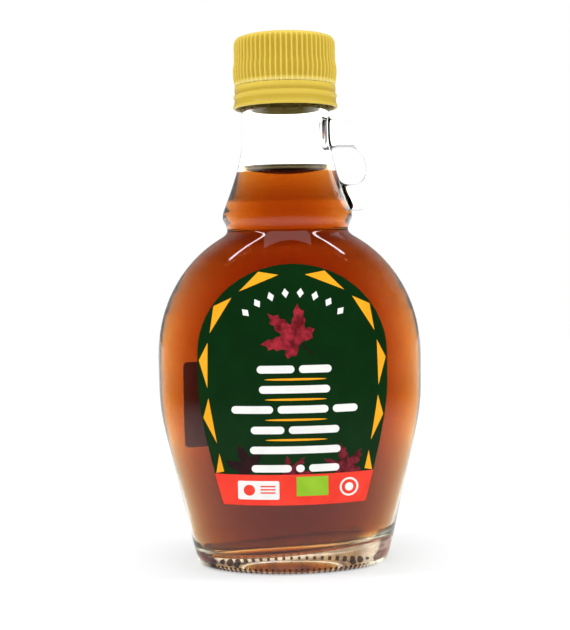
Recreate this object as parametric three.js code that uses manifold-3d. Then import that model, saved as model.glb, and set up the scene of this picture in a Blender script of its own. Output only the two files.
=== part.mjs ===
// Oval glass flask of maple syrup, closed with a ribbed plastic screw cap.
// The flask is one piece of clear glass: a wide, flat-sided body, an elliptical shoulder, a round ringed
// neck and a small ear-shaped handle on the +X side. It holds the syrup up to the middle of the neck.
// Under the cap sits its tamper-evident ring, and there is one paper label on the front and one on the back.
// Millimetres, +Z up, the origin at the centre of the foot. The front of the flask faces -Y.

import * as THREE from 'three';
import { mergeVertices } from 'three/addons/utils/BufferGeometryUtils.js';
import Module from 'manifold-3d';

const wasm = await Module();
wasm.setup();

// Body of the flask
const BELLY_HALF_WIDTH = 41.75;
const BELLY_HALF_DEPTH = 27.6;
const FOOT_HALF_WIDTH = 28.0; // outer edge of the flat ring that the flask stands on
const HEEL = { radius: 31.45, z: 4.6 }; // where the rounded heel meets the tapered side
const SIDE_TOP = { radius: 40.1, z: 42.5 }; // where the tapered side starts to turn upright
const WAIST = { z: 49.6, end: 56.7 };

// Shoulder: a quarter of an ellipse, narrower from front to back, which turns into the round neck
const SHOULDER_Z = 66;
const SHOULDER_RISE = 42;
const SHOULDER_RUN_WIDTH = 38.4;
const SHOULDER_RUN_DEPTH = 13.5;

// Neck, up from the groove at its root
const GROOVE = { radius: 19.05, z: 105.6 };
const BULGE_FOOT = { radius: 19.9, z: 107.9 };
const BULGE_TOP = { radius: 20.1, z: 111.7 };
const NECK = { radius: 13.7, z: 135 };
const BEAD = { radius: 14.6, z: 147.4, half: 1.5 };
const FINISH_RADIUS = 13.2;
const LIP = { z: 163.2, round: 1.0 };

// Inside of the flask
const WALL = 2.8;
const FLOOR_Z = 5.6;
const FLOOR_CORNER = 7;
const FLOOR_SLANT = 0.085; // rise over run: the glass of the floor is thicker on the handle's side
const SLANT_FADES_AT = 16;
const CAVITY_SHOULDER_STOP = 0.06; // radians by which the cavity's shoulder arc ends short of the outer one
const CAVITY_NECK = { bulge: 16.9, radius: 11.1, z: 133 };
const PUNT = { halfWidth: 23.5, halfDepth: 14.2, rise: 2.6 };

// Ear-shaped handle: a disc with an oval hole, both on an axis that points out and slightly up
const EAR_TILT = THREE.MathUtils.degToRad(12);
const EAR_HOLE = { x: 20.5, z: 125.4, along: 5.1, across: 6.3 };
const EAR_DISC_SETBACK = 4.7;
const EAR_RADIUS = 15.3;
const EAR_THICKNESS = 7.6;
const EAR_ROUND = 2.3;

// Syrup
const SYRUP_LEVEL = 124.6;
const FIT_GAP = 0.3;

// Cap and its tamper-evident ring
const CAP_TOP_Z = 165.8;
const CAP_BOTTOM_Z = 150.6;
const CAP_RADIUS = 15.95;
const CAP_FLARE = { radius: 16.35, z: 155.0 };
const CAP_FOOT_RADIUS = 15.8;
const CAP_EDGE = 1.7;
const CAP_BORE = 14.0;
const CAP_ROOF = 2.2;
const RIBS = 60;
const RIB_DEPTH = 0.45;
const RING_TOP_Z = 150.3;
const RING_RIM_Z = 143.5;
const RING_RADIUS = 15.85;
const RING_WAIST_RADIUS = 16.18;
const RING_RIM_RADIUS = 16.5;
const RING_WALL = 1.15;

// Paper labels
const PAPER = 0.25;
const LABEL = {
  halfWidth: 28.7,
  archZ: 67.8, // where the straight sides turn into the arch
  archRise: 27,
  archTurn: THREE.MathUtils.degToRad(82), // of the quarter ellipse, which leaves a short flat top
  taperZ: 58, // below this the label narrows to its foot
  footZ: 22.2,
  footHalfWidth: 21.6,
  taperBend: 1.4,
};
const BACK_LABEL = { halfWidth: 27.5, centreX: -2, lowZ: 34.2, highZ: 63 };

// Numbers of facets
const OUTER_SIDES = 56;
const INNER_SIDES = 36;
const RING_SIDES = 48;

// The half depth over the half width of the flask's outside at a height.
function depthRatio(z) {
  const t = Math.min(1, Math.max(0, (z - SHOULDER_Z) / SHOULDER_RISE));
  const k = 1 - Math.sqrt(1 - t * t);
  const width = BELLY_HALF_WIDTH - SHOULDER_RUN_WIDTH * k;
  const depth = BELLY_HALF_DEPTH - SHOULDER_RUN_DEPTH * k;
  return Math.min(1, depth / width);
}

// The height at which the shoulder has become round.
const ROUND_SHARE = 1 - (BELLY_HALF_WIDTH - BELLY_HALF_DEPTH) / (SHOULDER_RUN_WIDTH - SHOULDER_RUN_DEPTH);
const SHOULDER_END_ANGLE = Math.acos(ROUND_SHARE);

// Samples the curves of a path, each at its own number of steps, as points of a turned profile.
function profileOf(path, steps) {
  const points = [];
  path.curves.forEach((curve, i) => {
    const piece = curve.getPoints(steps[i]);
    points.push(...(i ? piece.slice(1) : piece));
  });
  return points;
}

// The outline of the flask's side, as half width against height, from the foot to the lip.
function outerProfile() {
  const path = new THREE.Path();
  path.moveTo(0, 0);
  path.lineTo(FOOT_HALF_WIDTH, 0);
  path.bezierCurveTo(FOOT_HALF_WIDTH + 1.9, 0, HEEL.radius - 0.5, HEEL.z / 2.4, HEEL.radius, HEEL.z);
  path.lineTo(SIDE_TOP.radius, SIDE_TOP.z);
  path.quadraticCurveTo(BELLY_HALF_WIDTH, WAIST.z, BELLY_HALF_WIDTH, WAIST.end);
  path.lineTo(BELLY_HALF_WIDTH, SHOULDER_Z);
  path.absellipse(BELLY_HALF_WIDTH - SHOULDER_RUN_WIDTH, SHOULDER_Z, SHOULDER_RUN_WIDTH, SHOULDER_RISE,
    0, SHOULDER_END_ANGLE, false);
  path.quadraticCurveTo(GROOVE.radius, GROOVE.z - 0.9, GROOVE.radius, GROOVE.z);
  path.quadraticCurveTo(GROOVE.radius + 0.05, BULGE_FOOT.z - 0.9, BULGE_FOOT.radius, BULGE_FOOT.z);
  path.bezierCurveTo(BULGE_FOOT.radius + 0.6, BULGE_FOOT.z + 0.9, BULGE_TOP.radius + 0.7, BULGE_TOP.z - 1.3,
    BULGE_TOP.radius, BULGE_TOP.z);
  path.bezierCurveTo(BULGE_TOP.radius - 2.5, BULGE_TOP.z + 6.3, NECK.radius, NECK.z - 7, NECK.radius, NECK.z);
  path.lineTo(NECK.radius, BEAD.z - BEAD.half);
  path.quadraticCurveTo(BEAD.radius, BEAD.z - BEAD.half, BEAD.radius, BEAD.z);
  path.quadraticCurveTo(BEAD.radius, BEAD.z + BEAD.half, FINISH_RADIUS, BEAD.z + BEAD.half);
  path.lineTo(FINISH_RADIUS, LIP.z - LIP.round);
  path.quadraticCurveTo(FINISH_RADIUS, LIP.z, FINISH_RADIUS - LIP.round, LIP.z);
  path.lineTo(0, LIP.z);
  return profileOf(path, [1, 4, 2, 3, 1, 10, 2, 2, 4, 7, 1, 2, 2, 1, 2, 1]);
}

// The half width of the flask's outside at a height below the shoulder's end.
function bodyHalfWidth(z) {
  if (z <= SIDE_TOP.z) {
    const share = (z - HEEL.z) / (SIDE_TOP.z - HEEL.z);
    return THREE.MathUtils.lerp(HEEL.radius, SIDE_TOP.radius, share);
  }
  if (z <= WAIST.end) {
    const t = (z - SIDE_TOP.z) / (WAIST.end - SIDE_TOP.z);
    return (1 - t) ** 2 * SIDE_TOP.radius + (2 * t * (1 - t) + t * t) * BELLY_HALF_WIDTH;
  }
  const s = Math.max(0, (z - SHOULDER_Z) / SHOULDER_RISE);
  return BELLY_HALF_WIDTH - SHOULDER_RUN_WIDTH * (1 - Math.sqrt(1 - s * s));
}

// The outline of the cavity, or of the syrup that stands a gap inside it, up to a height.
function innerProfile(gap, topZ) {
  const inset = WALL + gap;
  const floor = FLOOR_Z + gap;
  const path = new THREE.Path();
  const cornerZ = floor + FLOOR_CORNER;
  const cornerRadius = bodyHalfWidth(cornerZ) - inset;
  path.moveTo(0, floor);
  path.lineTo(cornerRadius - FLOOR_CORNER, floor);
  path.quadraticCurveTo(cornerRadius - 0.8, floor, cornerRadius, cornerZ);
  path.lineTo(SIDE_TOP.radius - inset, SIDE_TOP.z);
  path.quadraticCurveTo(BELLY_HALF_WIDTH - inset, WAIST.z, BELLY_HALF_WIDTH - inset, WAIST.end);
  path.lineTo(BELLY_HALF_WIDTH - inset, SHOULDER_Z);
  path.absellipse(BELLY_HALF_WIDTH - SHOULDER_RUN_WIDTH, SHOULDER_Z, SHOULDER_RUN_WIDTH - inset,
    SHOULDER_RISE - inset, 0, SHOULDER_END_ANGLE - CAVITY_SHOULDER_STOP, false);
  const bulge = CAVITY_NECK.bulge - gap;
  const neck = CAVITY_NECK.radius - gap;
  path.quadraticCurveTo(bulge - 0.7, GROOVE.z - 0.6, bulge, BULGE_FOOT.z);
  path.bezierCurveTo(bulge + 0.4, BULGE_TOP.z + 1, neck, CAVITY_NECK.z - 10, neck, CAVITY_NECK.z);
  path.lineTo(neck, LIP.z + 1);
  const points = profileOf(path, [1, 4, 2, 2, 1, 8, 2, 6, 1]);
  const kept = points.filter((p) => p.y < topZ);
  const next = points[kept.length];
  const last = kept[kept.length - 1];
  const share = (topZ - last.y) / (next.y - last.y);
  kept.push(new THREE.Vector2(THREE.MathUtils.lerp(last.x, next.x, share), topZ));
  kept.push(new THREE.Vector2(0, topZ));
  return kept;
}

// The half depth over the half width of the oval that lies an inset inside the flask's outside.
function insetRatio(z, inset) {
  const ratio = depthRatio(z);
  const width = bodyHalfWidth(z);
  return ratio === 1 ? 1 : (width * ratio - inset) / (width - inset);
}

// Turns a profile about +Z, and presses the body part of it to the flask's oval section.
function turnedOval(profile, sides, inset) {
  const geometry = new THREE.LatheGeometry(profile, sides);
  geometry.rotateX(Math.PI / 2);
  const p = geometry.getAttribute('position');
  for (let i = 0; i < p.count; i++) p.setY(i, p.getY(i) * insetRatio(p.getZ(i), inset));
  return geometry;
}

// Lifts the floor of the cavity towards the handle's side, where the glass is thickest.
function slantFloor(geometry) {
  const p = geometry.getAttribute('position');
  for (let i = 0; i < p.count; i++) {
    const fade = Math.max(0, 1 - (p.getZ(i) - FLOOR_Z) / (SLANT_FADES_AT - FLOOR_Z));
    p.setZ(i, p.getZ(i) + FLOOR_SLANT * p.getX(i) * fade);
  }
  return geometry;
}

// A closed geometry as a solid for joins and cuts.
function solidOf(geometry) {
  const bare = new THREE.BufferGeometry();
  const flat = geometry.index ? geometry.toNonIndexed() : geometry;
  bare.setAttribute('position', flat.getAttribute('position'));
  const merged = mergeVertices(bare, 1e-3);
  return new wasm.Manifold(new wasm.Mesh({
    numProp: 3,
    vertProperties: merged.getAttribute('position').array,
    triVerts: new Uint32Array(merged.index.array),
  }));
}

// A solid back as a geometry.
function geometryOf(solid) {
  const mesh = solid.getMesh();
  const geometry = new THREE.BufferGeometry();
  geometry.setAttribute('position', new THREE.BufferAttribute(new Float32Array(mesh.vertProperties), 3));
  geometry.setIndex(new THREE.BufferAttribute(new Uint32Array(mesh.triVerts), 1));
  geometry.computeVertexNormals();
  return geometry;
}

// The ear-shaped handle, with every edge rounded. Its root lies inside the neck.
function earGeometry() {
  const shape = new THREE.Shape();
  shape.absarc(-EAR_DISC_SETBACK, 0, EAR_RADIUS, 0, 2 * Math.PI, false);
  const hole = new THREE.Path();
  hole.absellipse(0, 0, EAR_HOLE.along, EAR_HOLE.across, 0, 2 * Math.PI, true);
  shape.holes.push(hole);
  const geometry = new THREE.ExtrudeGeometry(shape, {
    depth: EAR_THICKNESS - 2 * EAR_ROUND,
    curveSegments: 14,
    bevelEnabled: true,
    bevelThickness: EAR_ROUND,
    bevelSize: EAR_ROUND,
    bevelOffset: -EAR_ROUND,
    bevelSegments: 3,
  });
  geometry.translate(0, 0, EAR_ROUND - EAR_THICKNESS / 2);
  geometry.rotateX(Math.PI / 2);
  geometry.rotateY(-EAR_TILT);
  geometry.translate(EAR_HOLE.x, 0, EAR_HOLE.z);
  return geometry;
}

// The shallow dome pressed up into the underside.
function puntGeometry() {
  const dome = new THREE.Path();
  dome.moveTo(0, -1);
  dome.lineTo(PUNT.halfWidth, -1);
  dome.lineTo(PUNT.halfWidth, 0);
  dome.quadraticCurveTo(PUNT.halfWidth * 0.6, PUNT.rise, 0, PUNT.rise);
  const geometry = new THREE.LatheGeometry(profileOf(dome, [1, 1, 4]), INNER_SIDES);
  geometry.rotateX(Math.PI / 2);
  geometry.scale(1, PUNT.halfDepth / PUNT.halfWidth, 1);
  return geometry;
}

function flaskGeometry() {
  const outside = solidOf(turnedOval(outerProfile(), OUTER_SIDES, 0));
  const cavity = solidOf(slantFloor(turnedOval(innerProfile(0, LIP.z + 0.5), INNER_SIDES, WALL)));
  const body = outside.add(solidOf(earGeometry())).subtract(cavity);
  return geometryOf(body.subtract(solidOf(puntGeometry())));
}

function syrupGeometry() {
  return slantFloor(turnedOval(innerProfile(FIT_GAP, SYRUP_LEVEL), INNER_SIDES, WALL + FIT_GAP));
}

// The cap's outside with its ribs, which run out at the rounded top edge, less the bore.
function capGeometry() {
  const path = new THREE.Path();
  path.moveTo(0, CAP_BOTTOM_Z);
  path.lineTo(CAP_FOOT_RADIUS, CAP_BOTTOM_Z);
  path.quadraticCurveTo(CAP_FLARE.radius, CAP_FLARE.z - 2.4, CAP_FLARE.radius, CAP_FLARE.z);
  path.quadraticCurveTo(CAP_FLARE.radius, CAP_FLARE.z + 1.6, CAP_RADIUS, CAP_FLARE.z + 3);
  path.lineTo(CAP_RADIUS, CAP_TOP_Z - CAP_EDGE);
  path.quadraticCurveTo(CAP_RADIUS, CAP_TOP_Z, CAP_RADIUS - CAP_EDGE, CAP_TOP_Z);
  path.lineTo(0, CAP_TOP_Z);
  const geometry = new THREE.LatheGeometry(profileOf(path, [1, 2, 2, 1, 3, 1]), 2 * RIBS);
  geometry.rotateX(Math.PI / 2);
  const p = geometry.getAttribute('position');
  for (let i = 0; i < p.count; i++) {
    const radius = Math.hypot(p.getX(i), p.getY(i));
    const side = Math.round(Math.atan2(p.getY(i), p.getX(i)) / (Math.PI / RIBS));
    const ribbed = radius > CAP_RADIUS - CAP_EDGE + 0.1;
    const shrink = side % 2 !== 0 && ribbed ? (radius - RIB_DEPTH) / radius : 1;
    p.setXY(i, p.getX(i) * shrink, p.getY(i) * shrink);
  }
  const boreTop = CAP_TOP_Z - CAP_ROOF;
  const boreFoot = CAP_BOTTOM_Z - 1; // below the cap, so that the cut goes through
  const bore = new THREE.CylinderGeometry(CAP_BORE, CAP_BORE, boreTop - boreFoot, INNER_SIDES);
  bore.rotateX(Math.PI / 2);
  bore.translate(0, 0, (boreTop + boreFoot) / 2);
  return geometryOf(solidOf(geometry).subtract(solidOf(bore)));
}

// The tamper-evident ring: two plain bands, each a little wider than the one above it, and a rolled rim.
function ringGeometry() {
  const inner = RING_RIM_RADIUS - RING_WALL;
  const path = new THREE.Path();
  path.moveTo(inner - 0.4, RING_TOP_Z);
  path.lineTo(inner, RING_RIM_Z + 0.4);
  path.lineTo(inner + 0.4, RING_RIM_Z);
  path.lineTo(RING_RIM_RADIUS - 0.4, RING_RIM_Z);
  path.quadraticCurveTo(RING_RIM_RADIUS, RING_RIM_Z, RING_RIM_RADIUS, RING_RIM_Z + 1.3);
  path.lineTo(RING_WAIST_RADIUS, RING_RIM_Z + 2.1);
  path.lineTo(RING_WAIST_RADIUS, RING_RIM_Z + 3.9);
  path.lineTo(RING_RADIUS, RING_RIM_Z + 5.1);
  path.lineTo(RING_RADIUS, RING_TOP_Z);
  path.lineTo(inner - 0.4, RING_TOP_Z);
  const geometry = new THREE.LatheGeometry(profileOf(path, [1, 1, 1, 2, 1, 1, 1, 1, 1]), RING_SIDES);
  geometry.rotateX(Math.PI / 2);
  return geometry;
}

// Bends a block of paper on to the flask. place(u, v) gives the label's own x and z for u and v from -1 to 1,
// and facing is -1 for the front of the flask and 1 for the back.
function paperOnFlask(place, facing, columns, rows) {
  const geometry = new THREE.BoxGeometry(2, 1, 2, columns, 1, rows);
  const p = geometry.getAttribute('position');
  for (let i = 0; i < p.count; i++) {
    const { x, z } = place(p.getX(i), p.getZ(i));
    const outwards = p.getY(i) * facing > 0;
    const lift = FIT_GAP + (outwards ? PAPER : 0);
    const width = bodyHalfWidth(z) + lift;
    const depth = bodyHalfWidth(z) * depthRatio(z) + lift;
    p.setXYZ(i, x, facing * depth * Math.sqrt(1 - (x / width) ** 2), z);
  }
  return geometry;
}

// The front label: an arched top, straight sides, and a lower part that narrows with the flask.
function frontLabelGeometry() {
  const place = (u, v) => {
    if (v > 0) {
      const turn = v * LABEL.archTurn;
      return { x: u * LABEL.halfWidth * Math.cos(turn), z: LABEL.archZ + LABEL.archRise * Math.sin(turn) };
    }
    const z = THREE.MathUtils.lerp(LABEL.footZ, LABEL.archZ, v + 1);
    const taper = Math.max(0, (LABEL.taperZ - z) / (LABEL.taperZ - LABEL.footZ)) ** LABEL.taperBend;
    return { x: u * THREE.MathUtils.lerp(LABEL.halfWidth, LABEL.footHalfWidth, taper), z };
  };
  return paperOnFlask(place, -1, 10, 14);
}

function backLabelGeometry() {
  const place = (u, v) => ({
    x: BACK_LABEL.centreX + u * BACK_LABEL.halfWidth,
    z: THREE.MathUtils.mapLinear(v, -1, 1, BACK_LABEL.lowZ, BACK_LABEL.highZ),
  });
  return paperOnFlask(place, 1, 8, 5);
}

// One named piece with its own material.
function piece(name, geometry, look) {
  const mesh = new THREE.Mesh(geometry, new THREE.MeshStandardMaterial(look));
  mesh.name = name;
  return mesh;
}

const CLEAR_GLASS = { color: 0xe9f0ec, roughness: 0.03, metalness: 0, transparent: true, opacity: 0.3 };
const AMBER_SYRUP = { color: 0x9a3a08, roughness: 0.05, metalness: 0, transparent: true, opacity: 0.9 };
const CAP_PLASTIC = { color: 0xe3c24f, roughness: 0.35, metalness: 0 };
const PRINTED_PAPER = { color: 0x0e2a12, roughness: 0.45, metalness: 0 };

const group = new THREE.Group();
group.add(
  piece('glass_flask', flaskGeometry(), CLEAR_GLASS),
  piece('syrup', syrupGeometry(), AMBER_SYRUP),
  piece('screw_cap', capGeometry(), CAP_PLASTIC),
  piece('tamper_ring', ringGeometry(), CAP_PLASTIC),
  piece('front_label', frontLabelGeometry(), PRINTED_PAPER),
  piece('back_label', backLabelGeometry(), PRINTED_PAPER),
);

export default group;
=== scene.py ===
import math

import bmesh
import bpy
from mathutils import Matrix, Vector


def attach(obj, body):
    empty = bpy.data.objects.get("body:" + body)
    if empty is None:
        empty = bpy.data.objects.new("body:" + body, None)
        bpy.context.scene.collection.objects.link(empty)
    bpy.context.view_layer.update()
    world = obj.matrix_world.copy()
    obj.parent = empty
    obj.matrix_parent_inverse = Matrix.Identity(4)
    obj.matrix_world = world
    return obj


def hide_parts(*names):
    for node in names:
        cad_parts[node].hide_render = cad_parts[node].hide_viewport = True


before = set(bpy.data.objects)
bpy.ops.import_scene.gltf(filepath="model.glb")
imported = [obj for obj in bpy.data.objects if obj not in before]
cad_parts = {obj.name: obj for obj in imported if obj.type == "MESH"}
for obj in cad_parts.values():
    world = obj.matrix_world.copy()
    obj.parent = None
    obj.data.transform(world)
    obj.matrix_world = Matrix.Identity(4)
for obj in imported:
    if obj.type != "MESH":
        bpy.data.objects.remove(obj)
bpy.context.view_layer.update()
MM = 0.001

# The camera stands in front of the flask, a little away from the handle's side and just below the shoulder,
# and looks slightly down. The picture leans a little to the left, as the photograph does.
PHOTO_HEIGHT = 630
SENSOR = 36.0
FOCAL_PIXELS = 1240.0
CAMERA_DISTANCE = 394 * MM
CAMERA_HEIGHT = 96 * MM
CAMERA_AZIMUTH = math.radians(-2.0)
CAMERA_PITCH = math.radians(2.54)
CAMERA_ROLL = math.radians(-1.05)
SIDESTEP = -1.3 * MM

camera_data = bpy.data.cameras.new("camera")
camera_data.sensor_width = SENSOR
camera_data.lens = SENSOR * FOCAL_PIXELS / PHOTO_HEIGHT
camera = bpy.data.objects.new("camera", camera_data)
turn = Matrix.Rotation(CAMERA_AZIMUTH, 4, "Z")
aim = Matrix.Rotation(math.radians(90) - CAMERA_PITCH, 4, "X") @ Matrix.Rotation(CAMERA_ROLL, 4, "Z")
camera.matrix_world = turn @ Matrix.Translation((SIDESTEP, -CAMERA_DISTANCE, CAMERA_HEIGHT)) @ aim
bpy.context.collection.objects.link(camera)
bpy.context.scene.camera = camera


# The flask is one piece of clear moulded glass: an oval body, an elliptical shoulder, a round neck with a
# ring at its root and a small ear on the +X side. Its wall is even, but the glass of the floor lies
# thicker on the ear's side, and the foot stands on a ring of fine knurls round a shallow dome.
BELLY_WIDTH, BELLY_DEPTH = 41.75, 27.6
HEEL_WIDTH, HEEL_Z = 31.45, 4.6
SIDE_WIDTH, SIDE_Z = 40.1, 42.5
WAIST_Z, WAIST_END = 49.6, 56.7
SHOULDER_Z, SHOULDER_RISE = 66.0, 42.0
SHOULDER_RUN_WIDTH, SHOULDER_RUN_DEPTH = 38.4, 13.5
FOOT_WIDTH = 28.0
GROOVE_RADIUS, GROOVE_Z = 19.05, 105.6
BULGE_FOOT_Z, BULGE_TOP_RADIUS, BULGE_TOP_Z = 107.9, 20.1, 111.7
NECK_RADIUS, NECK_Z = 13.7, 135.0
FINISH_RADIUS, LIP_Z = 13.2, 163.2
WALL = 2.8
FLOOR_Z, FLOOR_CORNER, FLOOR_SLANT, SLANT_END = 5.6, 7.0, 0.085, 16.0
CAVITY_BULGE, CAVITY_NECK, CAVITY_NECK_Z = 16.9, 11.1, 133.0
CAVITY_THINNING, CAVITY_STRETCH = 0.2, 1.1
THIN_FOOT_Z, THIN_FOOT_FADE, THIN_TOP_Z, THIN_TOP_FADE = 20, 32, 100, 22
PUNT_WIDTH, PUNT_RISE = 23.5, 2.6
SYRUP_LEVEL = 124.6
FLASK_SIDES = 48
SOFTENING = 1 - (1 - math.cos(2 * math.pi / FLASK_SIDES)) / 3  # what subdivision takes off a ring


def clamped(value):
    """The value, held between 0 and 1."""
    return min(1.0, max(0.0, value))


def body_width(z):
    """The half width of the outside at a height below the groove."""
    if z <= SIDE_Z:
        return HEEL_WIDTH + (SIDE_WIDTH - HEEL_WIDTH) * (z - HEEL_Z) / (SIDE_Z - HEEL_Z)
    if z <= WAIST_END:
        t = (z - SIDE_Z) / (WAIST_END - SIDE_Z)
        return (1 - t) ** 2 * SIDE_WIDTH + (2 * t * (1 - t) + t * t) * BELLY_WIDTH
    s = clamped((z - SHOULDER_Z) / SHOULDER_RISE)
    return BELLY_WIDTH - SHOULDER_RUN_WIDTH * (1 - math.sqrt(1 - s * s))


def section_ratio(z, inset=0.0):
    """Half depth over half width of the oval that lies an inset inside the outside at a height."""
    s = clamped((z - SHOULDER_Z) / SHOULDER_RISE)
    k = 1 - math.sqrt(1 - s * s)
    width = BELLY_WIDTH - SHOULDER_RUN_WIDTH * k
    depth = BELLY_DEPTH - SHOULDER_RUN_DEPTH * k
    return 1.0 if depth >= width else (depth / width * body_width(z) - inset) / (body_width(z) - inset)


def bend(points, shares):
    """Points of the Bezier curve on two to four control points, at the shares of its way."""
    def at(t, row):
        while len(row) > 1:
            row = [a.lerp(b, t) for a, b in zip(row, row[1:])]
        return tuple(row[0])
    return [at(t, [Vector(p) for p in points]) for t in shares]


def steps(count, first=0):
    return [i / count for i in range(first, count + 1)]


def shoulder(inset, count, stop):
    """The shoulder's quarter ellipse, up to where it has become round."""
    share = 1 - (BELLY_WIDTH - BELLY_DEPTH) / (SHOULDER_RUN_WIDTH - SHOULDER_RUN_DEPTH)
    end = math.acos(share) - stop
    centre = BELLY_WIDTH - SHOULDER_RUN_WIDTH
    return [(centre + (SHOULDER_RUN_WIDTH - inset) * math.cos(end * s),
             SHOULDER_Z + (SHOULDER_RISE - inset) * math.sin(end * s)) for s in steps(count)]


def thin_ends(z):
    """How far the two ends of the cavity's oval are drawn out at a height, from 0 to 1."""
    return clamped((THIN_TOP_Z - z) / THIN_TOP_FADE) * clamped((z - THIN_FOOT_Z) / THIN_FOOT_FADE)


def oval_rings(profile, inset):
    """Rings of a profile of half widths and heights: half width, half depth, height and roundness.

    The roundness is the exponent of the section: 2 is an ellipse, and less makes its two ends thinner.
    """
    rings = []
    for half, z in profile:
        ends = thin_ends(z) if inset else 0
        width, depth = half + CAVITY_STRETCH * ends, half * section_ratio(z, inset)
        rings.append((width / SOFTENING, depth / SOFTENING, z, 2 - CAVITY_THINNING * ends))
    return rings


def cavity(grow):
    """The inside of the flask from the floor's rim to the neck, grown into the wall by a little."""
    inset = WALL - grow
    floor = FLOOR_Z - grow
    corner = body_width(floor + FLOOR_CORNER) - inset
    profile = [(corner - FLOOR_CORNER - 5, floor), (corner - FLOOR_CORNER, floor)]
    profile += bend([profile[-1], (corner - 0.8, floor), (corner, floor + FLOOR_CORNER)], steps(5, 1))
    profile += [(body_width(z) - inset, z) for z in (17, 23, 30, 36.5, SIDE_Z)]
    waist = [(SIDE_WIDTH - inset, SIDE_Z), (BELLY_WIDTH - inset, WAIST_Z), (BELLY_WIDTH - inset, WAIST_END)]
    profile += bend(waist, steps(4, 1))
    profile += shoulder(inset, 14, 0.06)
    end = profile[-1]
    root = CAVITY_BULGE + grow
    neck = CAVITY_NECK + grow
    profile += bend([end, (root - 0.7, GROOVE_Z - 0.6), (root, BULGE_FOOT_Z)], steps(3, 1))
    flare = [(root, BULGE_FOOT_Z), (root + 0.4, 112.7), (neck, CAVITY_NECK_Z - 10), (neck, CAVITY_NECK_Z)]
    return profile + bend(flare, steps(9, 1))


def slanted(x, z):
    """Height of a point of the cavity: the floor rises towards the ear's side."""
    fade = max(0.0, 1 - (z - FLOOR_Z) / (SLANT_END - FLOOR_Z))
    return z + FLOOR_SLANT * x * fade


def drawn_out(bm, edges):
    """Extrudes open edges once, and returns the new corners and the new open edges."""
    made = bmesh.ops.extrude_edge_only(bm, edges=edges)["geom"]
    verts = {v for v in made if isinstance(v, bmesh.types.BMVert)}
    return verts, [e for e in made if isinstance(e, bmesh.types.BMEdge) and set(e.verts) <= verts]


def add_rings(bm, rings, sides, slant=False):
    """Starts a skin with its first ring and draws it out through the others."""
    verts = bmesh.ops.create_circle(bm, segments=sides, radius=1)["verts"]
    edges = [e for e in bm.edges if e.verts[0] in set(verts)]
    last = 1
    for number, (width, depth, z, roundness) in enumerate(rings):
        if number:
            verts, edges = drawn_out(bm, edges)
        for v in verts:
            across = max(-1.0, min(1.0, v.co.x / last))
            reach = (1 - abs(across) ** roundness) ** (1 / roundness)
            v.co = (across * width, math.copysign(reach * depth, v.co.y), z)
        last = width
    if slant:
        for v in bm.verts:
            v.co.z = slanted(v.co.x, v.co.z)


def close_ends(bm):
    """Closes every open ring with one face, and turns all faces outwards."""
    bmesh.ops.holes_fill(bm, edges=[e for e in bm.edges if e.is_boundary], sides=0)
    bmesh.ops.recalc_face_normals(bm, faces=bm.faces)


def weld(bm):
    """Joins the corners that lie on each other, and turns all faces outwards."""
    bmesh.ops.remove_doubles(bm, verts=bm.verts, dist=0.001)
    bmesh.ops.recalc_face_normals(bm, faces=bm.faces)


def piece(name, bm, material, body="root", levels=0, sharp=None):
    """Makes the object of a mesh drawn in millimetres, and lets it ride on the body.

    It is smooth, subdivided so many levels, with sharp edges from an angle in degrees.
    """
    bmesh.ops.scale(bm, vec=(MM, MM, MM), verts=bm.verts)
    mesh = bpy.data.meshes.new(name)
    bm.to_mesh(mesh)
    bm.free()
    made = bpy.data.objects.new(name, mesh)
    bpy.context.collection.objects.link(made)
    mesh.polygons.foreach_set("use_smooth", [True] * len(mesh.polygons))
    if sharp:
        mesh.set_sharp_from_angle(angle=math.radians(sharp))
    if levels:
        soften = made.modifiers.new("soften", "SUBSURF")
        soften.levels = soften.render_levels = levels
    made.data.materials.append(material)
    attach(made, body)
    return made


class Socket:
    """An output socket in a material, on which Python's own signs add the Math nodes."""

    def __init__(self, tree, out=None):
        self.tree = tree
        self.out = out

    def node(self, kind, settings=None, values=None, output=0):
        """Adds a node with its settings and its inputs, and returns the socket of one output."""
        made = self.tree.nodes.new("ShaderNode" + kind)
        for name, value in (settings or {}).items():
            setattr(made, name, value)
        for name, value in (values or {}).items():
            if isinstance(value, Socket):
                self.tree.links.new(value.out, made.inputs[name])
            else:
                made.inputs[name].default_value = value
        return Socket(self.tree, made.outputs[output] if made.outputs else None)

    def math(self, operation, *values):
        return self.node("Math", {"operation": operation}, dict(enumerate(values)))

    def __add__(self, other):
        return self.math("ADD", self, other)

    def __sub__(self, other):
        return self.math("SUBTRACT", self, other)

    def __rsub__(self, other):
        return self.math("SUBTRACT", other, self)

    def __mul__(self, other):
        return self.math("MULTIPLY", self, other)

    __rmul__ = __mul__

    def ramp(self, low, high):
        """0 where the value is at low and 1 at high, soft between them."""
        return self.node("MapRange", {"interpolation_type": "SMOOTHSTEP"},
                         {"Value": self, "From Min": low, "From Max": high})

    def mixed(self, first, second):
        """The first colour where the value is 0 and the second where it is 1."""
        return self.node("Mix", {"data_type": "RGBA"}, {"Factor": self, 6: first, 7: second}, 2)

    def coordinates(self):
        return self.node("TexCoord", output=3)

    def noise(self, scale, detail=2.0, stretch=(1, 1, 1)):
        """Noise on the object's own coordinates, about so many spots a metre."""
        place = self.node("Mapping", {}, {"Vector": self.coordinates(), "Scale": stretch})
        return self.node("TexNoise", {}, {"Vector": place, "Scale": scale, "Detail": detail})

    def bumped(self, distance, strength=1.0):
        return self.node("Bump", {}, {"Height": self, "Distance": distance, "Strength": strength})


def new_finish(name):
    """An empty material and a socket from which its nodes are added."""
    material = bpy.data.materials.new(name)
    material.use_nodes = True
    material.node_tree.nodes.clear()
    return material, Socket(material.node_tree)


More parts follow.
